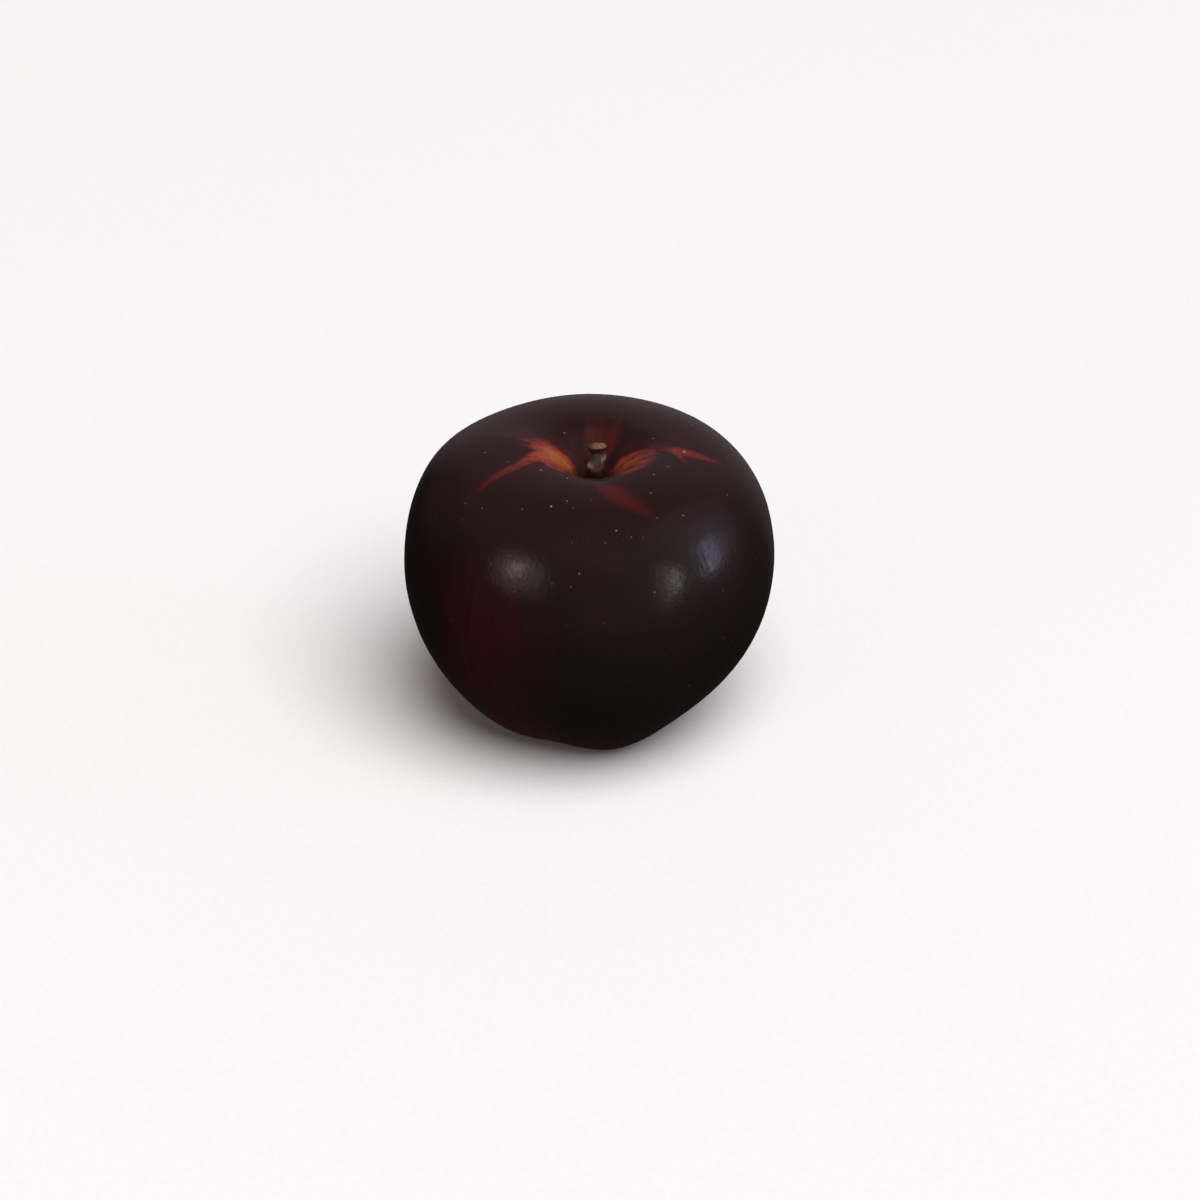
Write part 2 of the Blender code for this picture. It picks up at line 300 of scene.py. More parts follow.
# ================================================================== the skin
# Each stroke of colour in the top of the fruit is a line of points round the
# stem: (azimuth in degrees, distance from the stem's axis, half width, both in
# millimetres, strength, heat), where heat runs from wine red to orange.
RAYS = [
    # the left fan, which fills that side of the cavity
    [(172, 3.2, 0.9, 0.75, 0.50), (172, 4.8, 1.4, 0.95, 0.82), (173, 6.2, 1.8, 1.0, 1.00), (176, 8.5, 2.0, 1.0, 0.98), (-179, 10.8, 1.4, 0.95, 0.70)],
    [(160, 4.2, 0.7, 0.85, 0.60), (159, 6.2, 0.9, 1.0, 0.76), (161, 8.2, 0.8, 1.0, 0.66), (167, 10.0, 0.8, 1.0, 0.48),
     (173, 11.9, 0.8, 1.0, 0.38), (171.5, 13.4, 0.65, 0.92, 0.30), (170, 15.0, 0.35, 0.66, 0.20), (169, 16.4, 0.12, 0.35, 0.12)],
    [(154, 8.2, 0.5, 0.70, 0.42), (156, 9.6, 0.7, 0.85, 0.38), (163, 11.2, 0.7, 0.80, 0.36), (168, 13.2, 0.35, 0.50, 0.26)],
    [(-178, 10.5, 0.9, 1.0, 0.54), (-177.5, 12.2, 0.7, 0.95, 0.32), (-179.2, 14.0, 0.35, 0.75, 0.22), (-180, 15.2, 0.12, 0.35, 0.12)],
    [(-176, 5.8, 1.7, 1.0, 0.90), (-170, 8.6, 1.9, 1.0, 0.94), (-162, 11.4, 1.6, 1.0, 0.68), (-154.6, 14.2, 1.25, 1.0, 0.42),
     (-150.6, 17.0, 1.10, 0.98, 0.32), (-149.8, 19.8, 1.0, 0.90, 0.28), (-148.3, 22.6, 0.8, 0.76, 0.15), (-146.2, 25.6, 0.4, 0.5, 0.05)],
    [(-154, 10.4, 1.2, 0.82, 0.62), (-140, 10.0, 1.05, 0.84, 0.60), (-126, 10.0, 1.0, 0.86, 0.54), (-110, 10.2, 0.95, 0.82, 0.46)],
    [(-152, 7.6, 1.1, 0.80, 0.62), (-141, 8.6, 1.2, 0.85, 0.60), (-128, 9.0, 1.0, 0.85, 0.56), (-111, 8.7, 0.85, 0.75, 0.48)],
    [(-160, 5.0, 1.0, 0.85, 0.62), (-157, 7.6, 1.2, 0.95, 0.76), (-156, 10.0, 1.0, 0.92, 0.62), (-157, 12.2, 0.6, 0.8, 0.46)],
    [(134, 4.6, 1.0, 0.36, 0.50), (140, 6.8, 1.1, 0.42, 0.50), (148, 8.4, 0.8, 0.32, 0.40)],
    # the right fan, which reaches down that side of the cavity
    [(10, 3.7, 0.9, 0.85, 0.58), (12, 5.6, 1.15, 0.98, 0.68), (7, 8.2, 0.95, 0.90, 0.58), (0, 10.2, 0.95, 0.84, 0.40),
     (-5, 12.0, 0.8, 0.72, 0.30), (-6, 13.4, 0.4, 0.36, 0.22)],
    [(-14, 4.2, 0.9, 0.75, 0.55), (-14, 6.4, 1.5, 0.95, 0.80), (-14, 8.6, 1.8, 1.0, 0.80), (-12.5, 11.0, 1.4, 0.90, 0.48), (-12, 13.2, 0.6, 0.5, 0.28)],
    [(-42, 4.4, 1.1, 0.98, 0.72), (-37, 7.4, 1.5, 1.0, 0.82), (-32, 9.8, 1.4, 1.0, 0.68), (-25, 11.7, 0.8, 0.9, 0.46), (-19, 13.0, 0.35, 0.7, 0.30)],
    [(-72, 6.4, 1.3, 0.90, 0.60), (-60, 9.5, 1.4, 0.90, 0.54), (-50, 11.3, 1.35, 0.90, 0.47), (-40, 12.6, 0.8, 0.75, 0.36)],
    [(-57, 11.6, 1.0, 0.50, 0.26), (-44, 12.5, 1.1, 0.60, 0.28), (-32, 13.0, 1.1, 0.60, 0.28), (-21, 13.8, 0.7, 0.45, 0.22)],
    [(-50, 6.4, 0.8, 0.72, 0.60), (-48, 7.6, 0.9, 0.84, 0.58), (-41, 10.1, 0.9, 0.82, 0.48), (-32, 11.8, 0.7, 0.66, 0.38), (-26, 12.9, 0.4, 0.35, 0.28)],
    # the separate ray further out on the right, with a short spur
    [(-3.0, 13.7, 0.5, 0.42, 0.20), (-4.2, 14.9, 0.85, 0.92, 0.28), (-5.6, 16.8, 1.4, 1.0, 0.43), (-6.3, 19.0, 1.4, 1.0, 0.41),
     (-6.7, 21.3, 1.3, 1.0, 0.30), (-6.8, 23.7, 1.05, 0.92, 0.20), (-6.0, 26.2, 0.45, 0.66, 0.08)],
    [(-8, 17.0, 0.9, 0.9, 0.32), (-12, 17.8, 0.75, 0.85, 0.32), (-16.5, 18.9, 0.45, 0.7, 0.20), (-19.5, 19.8, 0.2, 0.4, 0.10)],
]
WINES = [
    # the dark red one in front and the three at the back, soft at their edges
    [(-84, 14.2, 0.9, 0.60), (-79, 16.3, 1.5, 0.98), (-73.5, 18.6, 1.8, 0.96), (-69.5, 21.3, 1.6, 0.86), (-66, 23.4, 1.3, 0.66), (-63, 25.3, 0.9, 0.38), (-61, 26.8, 0.4, 0.14)],
    [(-86, 13.2, 1.8, 0.32), (-76, 17.6, 2.8, 0.42), (-68, 22.0, 2.6, 0.36), (-62, 26.4, 1.6, 0.18)],
    [(98, 6.0, 1.4, 0.62), (96, 9.0, 1.2, 0.54), (94, 12.0, 0.9, 0.24)],
    [(63, 6.2, 1.2, 0.80), (63, 8.8, 1.2, 0.85), (63.8, 11.2, 0.9, 0.54), (64.8, 13.8, 0.5, 0.22)],
    [(81, 6.0, 2.2, 0.72), (82, 9.0, 2.0, 0.62), (82, 12.4, 1.1, 0.24)],
    # haze round the fans
    [(-154, 13.0, 2.6, 0.5), (-150, 19.0, 2.0, 0.5), (-147, 25.0, 1.8, 0.4), (-144, 29.0, 1.2, 0.2)],
    [(0, 12.5, 1.8, 0.4), (-5, 16.0, 2.1, 0.5), (-7, 21.0, 1.9, 0.5), (-7, 26.5, 1.1, 0.28)],
    [(-8, 17.2, 1.2, 0.6), (-18, 20.0, 0.7, 0.4)],
    [(152, 8.0, 2.2, 0.5), (164, 14.0, 2.0, 0.4), (168, 19.0, 1.0, 0.2)],
    [(25, 7.0, 2.2, 0.45), (12, 11.0, 1.8, 0.4), (4, 14.5, 1.2, 0.3)],
]


def stroke_field(x, y, strokes):
    """Union of tapered strokes at the points x, y (mm), and their mean heat."""
    clear = np.ones_like(x)
    weight = np.full_like(x, 1e-9)
    heat = np.zeros_like(x)
    for stroke in strokes:
        best = np.zeros_like(x)
        best_heat = np.zeros_like(x)
        for a, b in zip(stroke[:-1], stroke[1:]):
            ax, ay = a[1] * math.cos(math.radians(a[0])), a[1] * math.sin(math.radians(a[0]))
            bx, by = b[1] * math.cos(math.radians(b[0])), b[1] * math.sin(math.radians(b[0]))
            t = np.clip(((x - ax) * (bx - ax) + (y - ay) * (by - ay)) / ((bx - ax) ** 2 + (by - ay) ** 2), 0, 1)
            d = np.hypot(x - ax - t * (bx - ax), y - ay - t * (by - ay))
            w = a[2] + (b[2] - a[2]) * t
            value = (a[3] + (b[3] - a[3]) * t) * (1.0 - smooth(0.15, 1.75, d / w))
            here = value > best
            best = np.where(here, value, best)
            if len(a) > 4:
                best_heat = np.where(here, a[4] + (b[4] - a[4]) * t, best_heat)
        clear *= 1.0 - np.clip(best, 0.0, 0.999)
        weight += best ** 3
        heat += best ** 3 * best_heat
    return 1.0 - clear, heat / weight


def ring_places(rings):
    """Rings along the section, closer together in the cavity and the basin."""
    fine = fruit_profile(6001)
    step = np.diff(fine, axis=0)
    length = np.hypot(step[:, 0], step[:, 1])
    mid = 0.5 * (fine[1:] + fine[:-1])
    extra = 1.3 * (1.0 - smooth(0.012, 0.024, mid[:, 0]))
    weight = length * (1.0 + extra)
    total = np.concatenate([[0.0], np.cumsum(weight)])
    run = np.concatenate([[0.0], np.cumsum(length)])
    share = np.interp(np.linspace(0.0, total[-1], rings + 1), total, np.arange(len(total)))
    index = np.arange(len(fine))
    return (np.interp(share, index, fine[:, 0]), np.interp(share, index, fine[:, 1]),
            np.interp(share, index, run))


def skin_grid():
    """The fine skin as a grid of points, rings by segments, with its fields."""
    r, z, run = ring_places(SKIN_RINGS)
    turn = np.linspace(-math.pi, math.pi, SKIN_SEGMENTS, endpoint=False)
    R, T = np.meshgrid(r, turn, indexing="ij")
    Z = np.broadcast_to(z[:, None], R.shape)
    S = np.broadcast_to(run[:, None], R.shape)
    points = fruit_surface(R, Z, T)
    along = np.gradient(points, axis=0)
    across = np.roll(points, -1, axis=1) - np.roll(points, 1, axis=1)
    normal = np.cross(along, across)
    normal[0], normal[-1] = (0.0, 0.0, 1.0), (0.0, 0.0, -1.0)
    normal /= np.linalg.norm(normal, axis=-1, keepdims=True)
    if normal[SKIN_RINGS // 2, 0] @ points[SKIN_RINGS // 2, 0] < 0.0:
        normal[1:-1] = -normal[1:-1]
    upper = S < run[np.argmax(r)]
    mm = R * 1000.0

    # soft unevenness of the whole fruit, fading at the axis and at the foot
    ray = points - np.array([0.0, 0.0, 0.034])
    ray /= np.linalg.norm(ray, axis=-1, keepdims=True)
    calm = smooth(1.5, 6.0, mm)
    relief = 0.000085 * waves_on(ray, 11, 3.0, 8.0, 14) + 0.000022 * waves_on(ray, 12, 14.0, 26.0, 24)
    relief *= calm * (0.25 + 0.75 * smooth(0.0, 0.006, points[..., 2]))
    # radial folds that run down into the stem cavity
    in_cavity = upper * smooth(2.0, 5.0, mm) * (1.0 - smooth(8.0, 15.0, mm))
    folds = (np.cos(7 * T + 0.9 + 0.05 * mm) + 0.8 * np.cos(11 * T - 0.5) + 0.55 * np.cos(17 * T + 2.0 - 0.08 * mm)
             + 0.35 * np.cos(29 * T + 1.1))
    relief += 0.000055 * in_cavity * folds
    # the fluted basin: a crease on each side of every lobe, and fine puckers
    in_basin = (~upper) * smooth(2.2, 4.5, mm) * (1.0 - smooth(8.0, 15.0, mm))
    pleats = (np.cos(5 * (T - LOBE_PHASE)) + 0.55 * np.cos(10 * (T - LOBE_PHASE) + 0.6) + 0.35 * np.cos(16 * T + 1.3)
              + 0.25 * np.cos(27 * T - 0.4 + 0.15 * mm))
    relief += 0.00016 * in_basin * pleats
    points = points + normal * relief[..., None]
    # pressed flat where it rests, with a soft edge
    height = points[..., 2]
    points[..., 2] = 0.5 * (height + np.sqrt(height ** 2 + 0.00008 ** 2))
    points = points + SHIFT

    px, py = mm * np.cos(T), mm * np.sin(T)
    rays, heat = stroke_field(px, py, RAYS)
    wine, _ = stroke_field(px, py, WINES)
    fields = {
        "ray": rays * upper,
        "warmth": heat * upper,
        "wine": wine * upper,
        # olive funnel round the stem, its russet painted darker as shade deep in the cavity; dry russet in the basin
        "funnel": upper * (1.0 - smooth(3.0, 6.6, mm)),
        "cavity": upper * (1.0 - smooth(7.0, 14.0, mm)),
        "basin": (~upper) * (1.0 - smooth(2.0, 9.5, mm)),
        # the shaded cheek and the foot are a deep red instead of black
        "blush": np.clip(0.75 * smooth(0.2, 1.0, np.cos(T - 1.65)) * smooth(0.062, 0.030, points[..., 2])
                         + 0.85 * (1.0 - smooth(0.002, 0.016, points[..., 2])) * (~upper)
                         + 0.95 * np.exp(-(np.angle(np.exp(1j * (T + 2.18))) / 0.31) ** 2)
                         * (1.0 - smooth(0.038, 0.061, points[..., 2])), 0, 1),
        # painted shade: a darker, greener black low on the right side and along the left side of the fruit
        "olive_painted_shade": np.clip(smooth(-0.05, 0.90, np.cos(T + 0.70)) * (1.0 - smooth(0.018, 0.052, points[..., 2]))
                         * smooth(0.000, 0.010, points[..., 2])
                         + 0.8 * smooth(0.80, 1.0, np.cos(T + 2.88)) * (1.0 - smooth(0.036, 0.054, points[..., 2])), 0, 1),
        "height": points[..., 2] / HEIGHT,
    }
    vectors = {
        "peel": np.stack([np.cos(T), np.sin(T), S / 0.0374], axis=-1),
        "place": points * 1000.0,
    }
    return points, fields, vectors, mm, T


def grid_to_mesh(points, fields, vectors):
    """Closes the grid with one vertex at each pole."""
    rings, segments = points.shape[:2]

    def pick(a):
        return np.concatenate([a[0, :1], a[1:-1].reshape(-1, *a.shape[2:]), a[-1, :1]])

    verts = pick(points)
    index = 1 + np.arange((rings - 2) * segments).reshape(rings - 2, segments)
    beside = np.roll(index, -1, axis=1)
    quads = np.stack([index[:-1], index[1:], beside[1:], beside[:-1]], axis=-1).reshape(-1, 4)
    first = np.stack([np.zeros(segments, int), index[0], beside[0]], axis=-1)
    last = np.stack([np.full(segments, len(verts) - 1), beside[-1], index[-1]], axis=-1)
    faces = quads.tolist() + first.tolist() + last.tolist()
    return verts, faces, {k: pick(v) for k, v in fields.items()}, {k: pick(v) for k, v in vectors.items()}


# Pale corky dots that stand out: (azimuth, distance from the axis in mm,
# radius in mm, brightness).  The rest are scattered by the material.
PALE_DOTS = [(-137.8, 13.8, 0.26, 1.0), (-109.0, 22.8, 0.27, 1.0), (-5.5, 18.4, 0.34, 1.0), (125.8, 10.1, 0.20, 0.55),
             (-102.0, 20.8, 0.22, 0.6), (-78.8, 27.3, 0.22, 0.6), (-73.2, 28.8, 0.18, 0.4), (-173.8, 20.9, 0.22, 0.7),
             (-55.5, 21.3, 0.20, 0.5), (-112.8, 13.0, 0.24, 0.7), (166.5, 3.6, 0.20, 0.4), (16.3, 12.7, 0.20, 0.45),
             (27.8, 23.3, 0.24, 0.5), (-98.0, 22.0, 0.18, 0.35), (-137.8, 27.8, 0.20, 0.45), (-112.0, 10.6, 0.20, 0.5),
             (-122.0, 11.4, 0.16, 0.35)]
WARM_DOTS = [(-29.8, 17.5, 0.28, 0.9), (-43.8, 17.1, 0.26, 0.8), (-49.2, 28.4, 0.26, 1.0), (-92.2, 33.4, 0.26, 0.9),
             (-121.0, 25.2, 0.24, 0.6), (-69.0, 35.4, 0.24, 0.7), (3.5, 11.6, 0.18, 0.45), (-60.5, 26.5, 0.20, 0.5), (-157.8, 17.7, 0.22, 0.7),
             (-22.5, 29.6, 0.22, 0.6), (-123.7, 34.1, 0.20, 0.5), (-5.0, 13.8, 0.20, 0.6), (-89.2, 19.5, 0.18, 0.4),
             (-95.5, 29.4, 0.18, 0.4), (-101.5, 34.6, 0.2, 0.4), (-44.0, 36.7, 0.22, 0.45), (-68.2, 29.2, 0.18, 0.35)]


def skin_material(centres):
    t = Tree("apple_skin", IOR=1.45, Coat_Weight=0.20, Coat_Roughness=0.42, Coat_IOR=1.45)
    peel = t.attribute("peel", "Vector")
    place = t.attribute("place", "Vector")
    ray, heat, wine = t.attribute("ray"), t.attribute("warmth"), t.attribute("wine")
    funnel, basin, blush = t.attribute("funnel"), t.attribute("basin"), t.attribute("blush")
    cavity = t.attribute("cavity")

    # streaks along the meridians, from broad to hair-fine
    broad = t.noise(t.vector("MULTIPLY", peel, (5.0, 5.0, 0.9)), 1.0, 3.0, 0.55)
    stripe = t.noise(t.vector("MULTIPLY", peel, (17.0, 17.0, 1.5)), 1.0, 3.0, 0.6)
    fine = t.noise(t.vector("MULTIPLY", peel, (44.0, 44.0, 3.2)), 1.0, 3.0, 0.6)
    hair = t.noise(t.vector("MULTIPLY", peel, (95.0, 95.0, 7.0)), 1.0, 2.0, 0.6)
    speck = t.noise(place, 1.4, 3.0, 0.6)
    cloud = t.noise(place, 0.10, 3.0, 0.5)

    # the near-black skin: wine, aubergine and a greener black, in soft streaks
    shoulder = t.step(t.attribute("height"), 0.84, 0.96)
    black = t.mix(t.step(cloud, 0.35, 0.68), t.mix(shoulder, (0.0122, 0.0054, 0.0044), (0.0132, 0.0039, 0.0040)),
                  t.mix(shoulder, (0.0094, 0.0053, 0.0045), (0.0106, 0.0038, 0.0042)))
    dark_red = t.mix(t.step(stripe, 0.30, 0.74), (0.0225, 0.0047, 0.0046), (0.0138, 0.0046, 0.0042))
    redness = t.math("ADD", t.math("MULTIPLY", blush, 1.15),
                     t.math("ADD", t.math("MULTIPLY", t.math("SUBTRACT", broad, 0.5), 0.60),
                        t.math("MULTIPLY", t.math("SUBTRACT", stripe, 0.5), 0.35)), clamp=True)
    skin = t.mix(redness, black, dark_red)
    strong_red = t.mix(t.step(stripe, 0.32, 0.72), (0.038, 0.0058, 0.0062), (0.023, 0.0045, 0.0050))
    flush = t.math("ADD", t.math("MULTIPLY", t.math("SUBTRACT", stripe, 0.5), 0.55),
                   t.math("ADD", t.math("MULTIPLY", broad, 0.55), t.math("ADD", 0.22, t.math("MULTIPLY", blush, 0.40))))
    skin = t.mix(t.math("MULTIPLY", blush, t.step(flush, 0.35, 0.98), clamp=True), skin, strong_red)
    skin = t.mix(t.math("MULTIPLY", t.step(fine, 0.55, 0.75), 0.30), skin, (0.020, 0.0040, 0.0044))
    # painted shade: olive-black mixed in low on the right and along the left side
    skin = t.mix(t.math("MULTIPLY", t.attribute("olive_painted_shade"), t.step(broad, 0.70, 0.30, 0.65, 1.0)), skin, (0.0062, 0.0050, 0.0026))

    # the dusky red wall of the stem cavity
    skin = t.mix(t.math("MULTIPLY", cavity, t.step(broad, 0.25, 0.70, 0.45, 0.85)), skin, (0.0215, 0.0056, 0.0046))

    # soft wine-red rays
    soft_edge = t.math("ADD", wine, t.math("ADD", t.math("MULTIPLY", t.math("SUBTRACT", fine, 0.5), 0.40),
                                           t.math("MULTIPLY", t.math("SUBTRACT", stripe, 0.5), 0.30)))
    skin = t.mix(t.math("MULTIPLY", t.step(soft_edge, 0.02, 1.12), 0.95), skin, (0.055, 0.0049, 0.0048))

    # red to orange rays, feathered into streaks and redder towards their edges
    ragged = t.math("ADD", t.math("MULTIPLY", t.math("SUBTRACT", fine, 0.5), 0.54),
                    t.math("ADD", t.math("MULTIPLY", t.math("SUBTRACT", hair, 0.5), 0.26),
                           t.math("MULTIPLY", t.math("SUBTRACT", speck, 0.5), 0.26)))
    edge = t.math("ADD", ray, ragged)
    shape = t.step(edge, 0.20, 0.74)
    glow = t.math("ADD", t.math("MULTIPLY", heat, 0.95),
                  t.math("ADD", t.math("ADD", t.math("MULTIPLY", t.math("SUBTRACT", fine, 0.5), 0.32),
                                       t.math("MULTIPLY", t.math("SUBTRACT", speck, 0.5), 0.55)),
                         t.math("MULTIPLY", t.math("SUBTRACT", edge, 0.95), 0.45)))
    colour = t.ramp(glow, [(0.0, (0.050, 0.0052, 0.0048)), (0.30, (0.104, 0.0118, 0.0092)), (0.55, (0.185, 0.0270, 0.0160)),
                           (0.80, (0.250, 0.0560, 0.0200)), (1.0, (0.320, 0.0980, 0.0290))])
    skin = t.mix(shape, skin, colour)

    # olive funnel with dry russet flecks, painted darker as shade deep in the cavity
    russet_and_shade = t.mix(t.step(speck, 0.42, 0.66), (0.026, 0.0100, 0.0032), (0.041, 0.0175, 0.0054))
    deep = t.math("ADD", funnel, t.math("MULTIPLY", t.math("SUBTRACT", fine, 0.5), 0.35))
    skin = t.mix(t.step(deep, 0.45, 1.05), skin, russet_and_shade)
    cork = t.mix(t.step(speck, 0.40, 0.62), (0.050, 0.018, 0.010), (0.120, 0.070, 0.034))
    dry = t.math("ADD", basin, t.math("MULTIPLY", t.math("SUBTRACT", fine, 0.5), 0.6))
    skin = t.mix(t.step(dry, 0.50, 0.95), skin, cork)

    # scattered lenticels: a pale core in a faint red ring
    near, kind = t.cells(place, 0.30)
    near_mm = t.math("DIVIDE", near, 0.30)
    bright = t.math("MULTIPLY", t.step(t.split(kind, 0), 0.25, 0.95), t.step(t.attribute("height"), 0.15, 0.80, 0.35, 1.0))
    halo = t.math("MULTIPLY", t.step(near_mm, 0.45, 0.15), t.math("MULTIPLY", bright, 0.45))
    core = t.math("MULTIPLY", t.step(near_mm, 0.24, 0.08), t.math("MULTIPLY", bright, 0.62))
    outside = t.math("SUBTRACT", 1.0, t.math("MAXIMUM", funnel, basin), clamp=True)
    skin = t.mix(t.math("MULTIPLY", halo, outside), skin, (0.060, 0.0090, 0.0080))
    tint = t.mix(t.split(kind, 1), (0.165, 0.062, 0.040), (0.210, 0.120, 0.088))
    skin = t.mix(t.math("MULTIPLY", core, outside), skin, tint)

    def placed(dots, spread):
        total = None
        for at, (_, _, radius, light) in zip(dots["at"], dots["list"]):
            away = t.vector("DISTANCE", place, tuple(at))
            spot = t.step(away, radius * spread, radius * 0.35, 0.0, light)
            total = spot if total is None else t.math("MAXIMUM", total, spot)
        return total

    pale, warm = placed(centres["pale"], 1.10), placed(centres["warm"], 0.98)
    skin = t.mix(t.math("MULTIPLY", placed(centres["warm"], 1.9), 0.40), skin, (0.080, 0.012, 0.008))
    skin = t.mix(t.math("MULTIPLY", warm, 0.80), skin, (0.250, 0.100, 0.066))
    skin = t.mix(pale, skin, (0.370, 0.210, 0.165))

    # a waxy cuticle: broken gloss, drier in the cavity, the basin and on the dots
    mottle = t.noise(place, 0.85, 1.0, 0.5)
    groove = t.noise(t.vector("MULTIPLY", peel, (40.0, 40.0, 4.0)), 1.0, 0.0, 0.5)
    rough = t.math("ADD", 0.222, t.math("ADD", t.math("MULTIPLY", t.math("SUBTRACT", mottle, 0.5), 0.20),
                                       t.math("MULTIPLY", t.math("SUBTRACT", groove, 0.5), 0.08)))
    rough = t.math("ADD", rough, t.math("MULTIPLY", t.math("MAXIMUM", t.math("MULTIPLY", cavity, 0.6), basin), 0.30))
    rough = t.math("ADD", rough, t.math("MULTIPLY", pale, 0.25), clamp=True)

    # pebbled at less than a millimetre, with faint grooves down the meridians
    pores = t.noise(place, 1.3, 0.0, 0.5)
    height = t.math("ADD", t.math("MULTIPLY", pores, 0.95), t.math("MULTIPLY", mottle, 0.5))
    height = t.math("ADD", height, t.math("MULTIPLY", groove, 0.35))
    height = t.math("ADD", height, t.math("MULTIPLY", t.math("MULTIPLY", basin, speck), 1.2))
    normal = t.bump(height, 0.000022, 1.0)
    return t.finish(Base_Color=skin, Roughness=rough, Normal=normal)


points, fields, vectors, skin_r, skin_turn = skin_grid()


def on_skin(dots):
    """Where each dot lies: the grid's point nearest to its azimuth and radius."""
    half = int(np.argmax(skin_r[:, 0]))
    found = []
    for azimuth, radius, _, _ in dots:
        i = int(np.argmin(np.abs(skin_r[:half, 0] - radius)))
        j = int(np.argmin(np.abs(np.angle(np.exp(1j * (skin_turn[0] - math.radians(azimuth)))))))
        found.append([round(float(v), 3) for v in points[i, j] * 1000.0])
    return {"at": found, "list": dots}


skin = skin_material({"pale": on_skin(PALE_DOTS), "warm": on_skin(WARM_DOTS)})
verts, faces, fields, vectors = grid_to_mesh(points, fields, vectors)
fruit = new_piece("fruit_skin", verts, faces, skin, fields, vectors)
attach(fruit, "root")
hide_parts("fruit")


# ================================================================== the stem
def stem_grid(rings=150, segments=96):
    """A stubby stalk: lumpy and ridged, waisted under its flared cut end."""
    foot = np.array([CAVITY_X, CAVITY_Y, HEIGHT - CAVITY_DEPTH - FLAT_SINK - 0.00035])
    top = np.array(STEM_TOP)
    length = np.linalg.norm(top - foot) * 1000.0
    # (height below the cut face in mm, radius in mm), from the foot to the middle of the cut
    section = [(length, 0.0), (length - 0.05, 0.9), (length - 0.4, 1.50), (length - 1.2, 1.66), (8.0, 1.64), (6.3, 1.68), (4.8, 1.70),
               (3.6, 1.56), (2.6, 1.44), (1.9, 1.36), (1.35, 1.34), (0.95, 1.48), (0.72, 1.68), (0.50, 1.82),
               (0.30, 1.88), (0.12, 1.83), (0.02, 1.64), (0.02, 1.25), (0.06, 0.80), (0.10, 0.35), (0.08, 0.0)]
    knots = np.array(section)
    t = np.concatenate([[0.0], np.cumsum(np.sqrt(np.hypot(*np.diff(knots, axis=0).T)))])
    at = np.linspace(0.0, t[-1], rings + 1)
    down, radius = np.interp(at, t, knots[:, 0]), np.interp(at, t, knots[:, 1])
    for _ in range(4):      # round the corners of the section
        down[1:-1] = 0.25 * down[:-2] + 0.5 * down[1:-1] + 0.25 * down[2:]
        radius[1:-1] = 0.25 * radius[:-2] + 0.5 * radius[1:-1] + 0.25 * radius[2:]
    turn = np.linspace(-math.pi, math.pi, segments, endpoint=False)
    D, T = np.meshgrid(down, turn, indexing="ij")
    R = np.broadcast_to(radius[:, None], D.shape)
    along = 1.0 - D / length
    face = smooth(0.45, 0.05, D)                    # 1 on the cut end
    body = smooth(0.9, 1.8, D)                      # 1 on the stalk
    knobs = 0.05 * np.cos(2 * T + 6 * along) + 0.03 * np.cos(3 * T - 4.0)
    ridges = (0.030 * np.cos(7 * T + 0.5 * np.sin(0.9 * D) + 0.20 * D) + 0.022 * np.cos(12 * T - 0.3 * D + 1.0)
              + 0.014 * np.cos(19 * T + 0.5 * D)) * (0.12 + 0.88 * body)
    lumps = 0.10 * np.exp(-((D - 2.7) / 0.75) ** 2) * smooth(0.35, 1.0, np.cos(T + 0.25)) \
        + 0.15 * np.exp(-((D - 4.2) / 0.65) ** 2) * smooth(0.50, 1.0, np.cos(T + 2.85)) \
        + 0.06 * np.exp(-((D - 7.2) / 0.8) ** 2) * np.cos(T - 1.9)
    rim = (0.022 * np.cos(3 * T + 0.7) + 0.016 * np.cos(5 * T - 1.2) + 0.010 * np.cos(11 * T)) * (1.0 - body)
    radius = R * (1.0 + knobs + ridges + lumps + rim) / 1000.0
    centre = foot + (top - foot) * along[..., None]
    centre[..., 0] += 0.00040 * np.exp(-((D - 2.7) / 1.5) ** 2)
    x = radius * np.cos(T)
    y = radius * np.sin(T)
    # the cut is uneven: a low middle, a few rays and a worn edge
    grain = face * (0.03 * np.cos(6 * T + 2.0) * smooth(0.2, 1.2, R) + 0.02 * np.cos(13 * T) * smooth(0.5, 1.5, R)
                    + 0.03 * np.cos(R * 7.0 + 1.5 * np.cos(2 * T)))
    head = 1.0 - smooth(0.5, 2.2, D)                # the whole flared end is cut on a slant
    tilt = 0.03 * x * 1000.0 - 0.17 * y * 1000.0
    z = (grain + head * tilt) / 1000.0
    grid = centre + np.stack([x, y, z], axis=-1) + SHIFT
    # the ridge field also places painted glints on the ridges and lumps
    fields = {"cut": face, "stalk": body, "down": D, "ridge_glint": 0.5 * ridges + 0.8 * lumps, "out": R / 1.88,
              "side": np.cos(T) * R / 1.88}
    vectors = {"bark": np.stack([np.cos(T), np.sin(T), D * 0.5], axis=-1), "place": grid * 1000.0}
    return grid, fields, vectors


